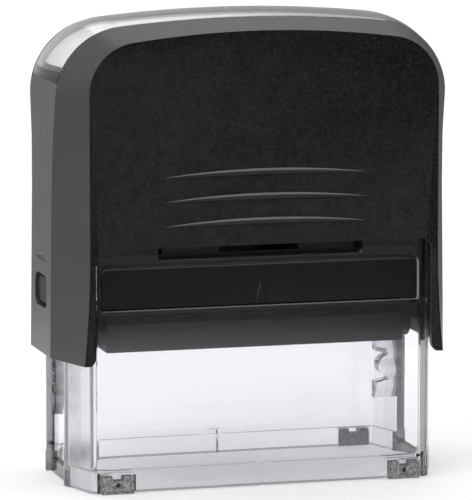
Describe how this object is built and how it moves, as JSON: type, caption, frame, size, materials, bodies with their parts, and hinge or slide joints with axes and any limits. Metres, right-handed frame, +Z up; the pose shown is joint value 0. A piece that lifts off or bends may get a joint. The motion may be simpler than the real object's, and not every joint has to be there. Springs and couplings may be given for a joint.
{
  "type": "self-inking stamp",
  "caption": "Self-inking rubber stamp: a black press-down cap over a clear frame, with an ink drawer, a flipping die, return springs and a clear card window.",
  "frame": {"origin": "on the table, under the middle of the stamp as it stands on its feet", "axes": "+Z up along the press direction, +X to the right along the long side, -Y the front where the ink drawer comes out"},
  "size_m": [0.08, 0.0416, 0.0921],
  "materials": {
    "black_plastic": "fine matte grain on the flat panels, smoother on the sloping bands",
    "inner_plastic": "smooth moulded, slightly glossy",
    "clear_plastic": "clear moulded plastic, faint cool tint",
    "grey_rubber": "matte, finely pitted",
    "inked_felt": "felt soaked with dark ink",
    "die_rubber": "matte engraved rubber, inked dark",
    "foam_tape": "black closed-cell foam tape",
    "paper": "plain white card",
    "spring_steel": "drawn wire"
  },
  "bodies": {
    "base": {"base_frame": "clear_plastic", "foot_front_left": "grey_rubber", "foot_front_right": "grey_rubber", "foot_rear_left": "grey_rubber", "foot_rear_right": "grey_rubber", "pad_bridge": "inner_plastic", "spring_left": "spring_steel", "spring_right": "spring_steel"},
    "cap": {"cap_shell": "black_plastic", "yoke": "inner_plastic", "index_card": "paper"},
    "die": {"die_plate": "inner_plastic", "flip_hub_left": "inner_plastic", "flip_hub_right": "inner_plastic", "foam_layer": "foam_tape", "rubber_die": "die_rubber"},
    "left_button": {"lock_button_left": "black_plastic"},
    "right_button": {"lock_button_right": "black_plastic"},
    "window": {"index_window": "clear_plastic"},
    "drawer": {"pad_tray": "black_plastic", "felt_pad": "inked_felt"}
  },
  "joints": [
    {"name": "press", "type": "slide", "parent": "base", "child": "cap", "axis": [0, 0, -1], "range_m": [0, 0.0252], "stiffness_N_per_m": 300, "springref_m": -0.01, "deforming": ["spring_left", "spring_right"]},
    {"name": "die_flip", "type": "hinge", "parent": "cap", "child": "die", "pos_m": [0, 0, 0.0304], "axis": [1, 0, 0], "range_deg": [0, 180]},
    {"name": "left_button_press", "type": "slide", "parent": "cap", "child": "left_button", "axis": [1, 0, 0], "range_m": [0, 0.0012], "stiffness_N_per_m": 800, "springref_m": -0.0006},
    {"name": "right_button_press", "type": "slide", "parent": "cap", "child": "right_button", "axis": [-1, 0, 0], "range_m": [0, 0.0012], "stiffness_N_per_m": 800, "springref_m": -0.0006},
    {"name": "window_lift", "type": "slide", "parent": "cap", "child": "window", "axis": [0, 0, 1], "range_m": [0, 0.012]},
    {"name": "drawer_slide", "type": "slide", "parent": "base", "child": "drawer", "axis": [0, 1, 0], "range_m": [-0.034, 0]}
  ],
  "couplings": [
    {"joint": "die_flip", "follows": "press", "rad_per_m": 124.67}
  ]
}
